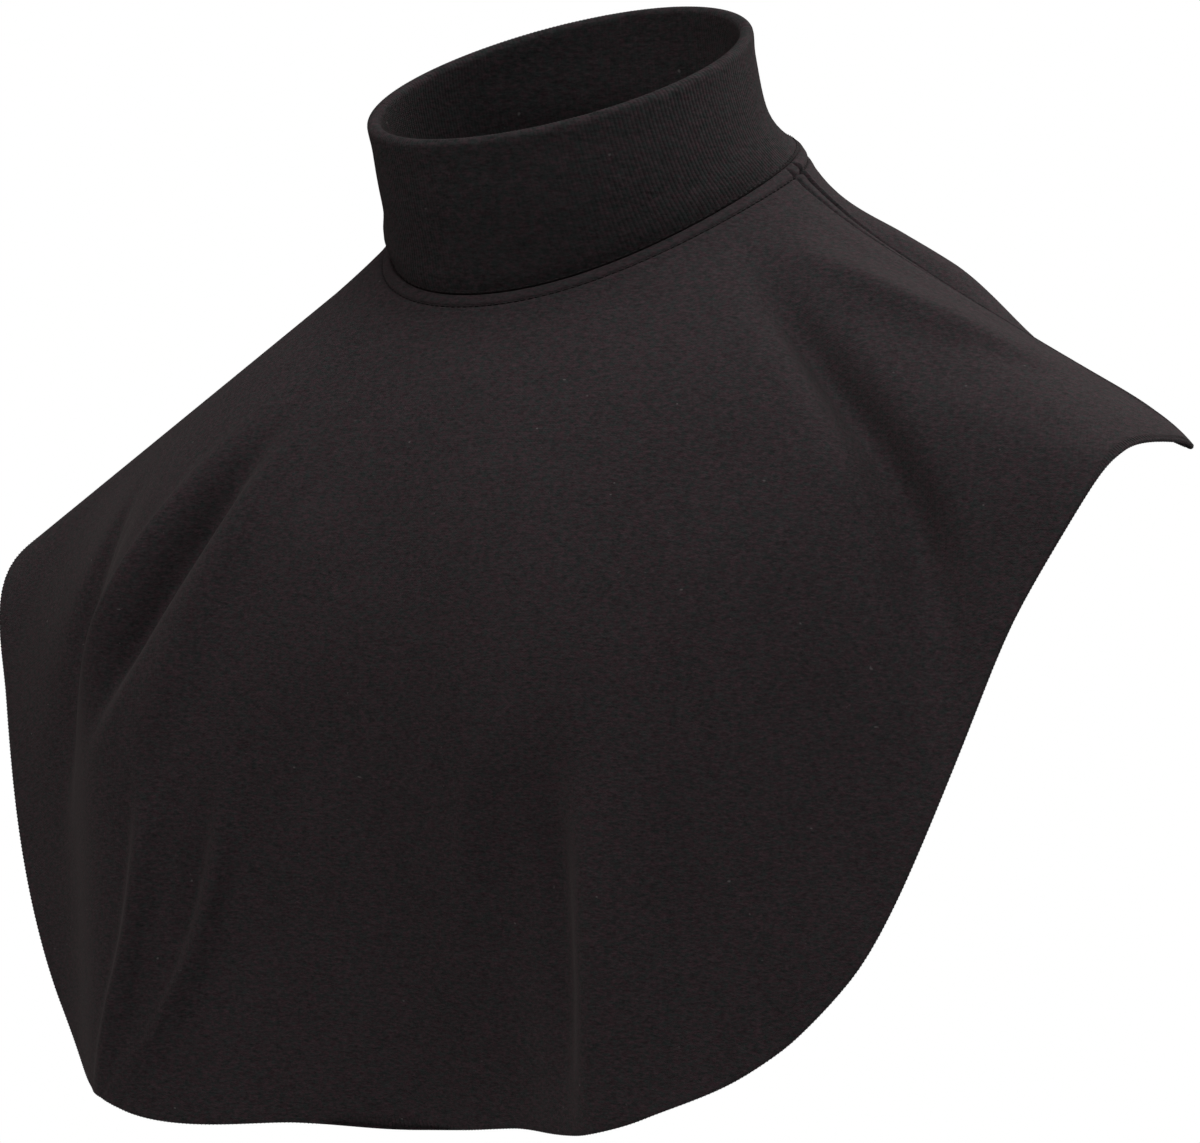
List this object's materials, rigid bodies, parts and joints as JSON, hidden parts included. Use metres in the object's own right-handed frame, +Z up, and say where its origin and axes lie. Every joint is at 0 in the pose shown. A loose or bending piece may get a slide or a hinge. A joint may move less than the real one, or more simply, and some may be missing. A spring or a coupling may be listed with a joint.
{
  "type": "turtleneck dickey",
  "caption": "Turtleneck dickey: a folded rib-knit collar sewn to a long front bib and a shorter back bib of dark jersey, shown as worn.",
  "frame": {"origin": "middle of the neck opening, level with the neck seam at the two sides of the neck", "axes": "+X to the wearer's left, -Y to the front, +Z up"},
  "size_m": [0.3871, 0.2209, 0.3261],
  "materials": {
    "rib_knit": "fine double rib knit, matt, black charcoal",
    "jersey": "fine single jersey, matt, heathered black charcoal"
  },
  "bodies": {
    "root": {"rib_collar": "rib_knit", "front_bib": "jersey", "back_bib": "jersey"}
  },
  "joints": []
}
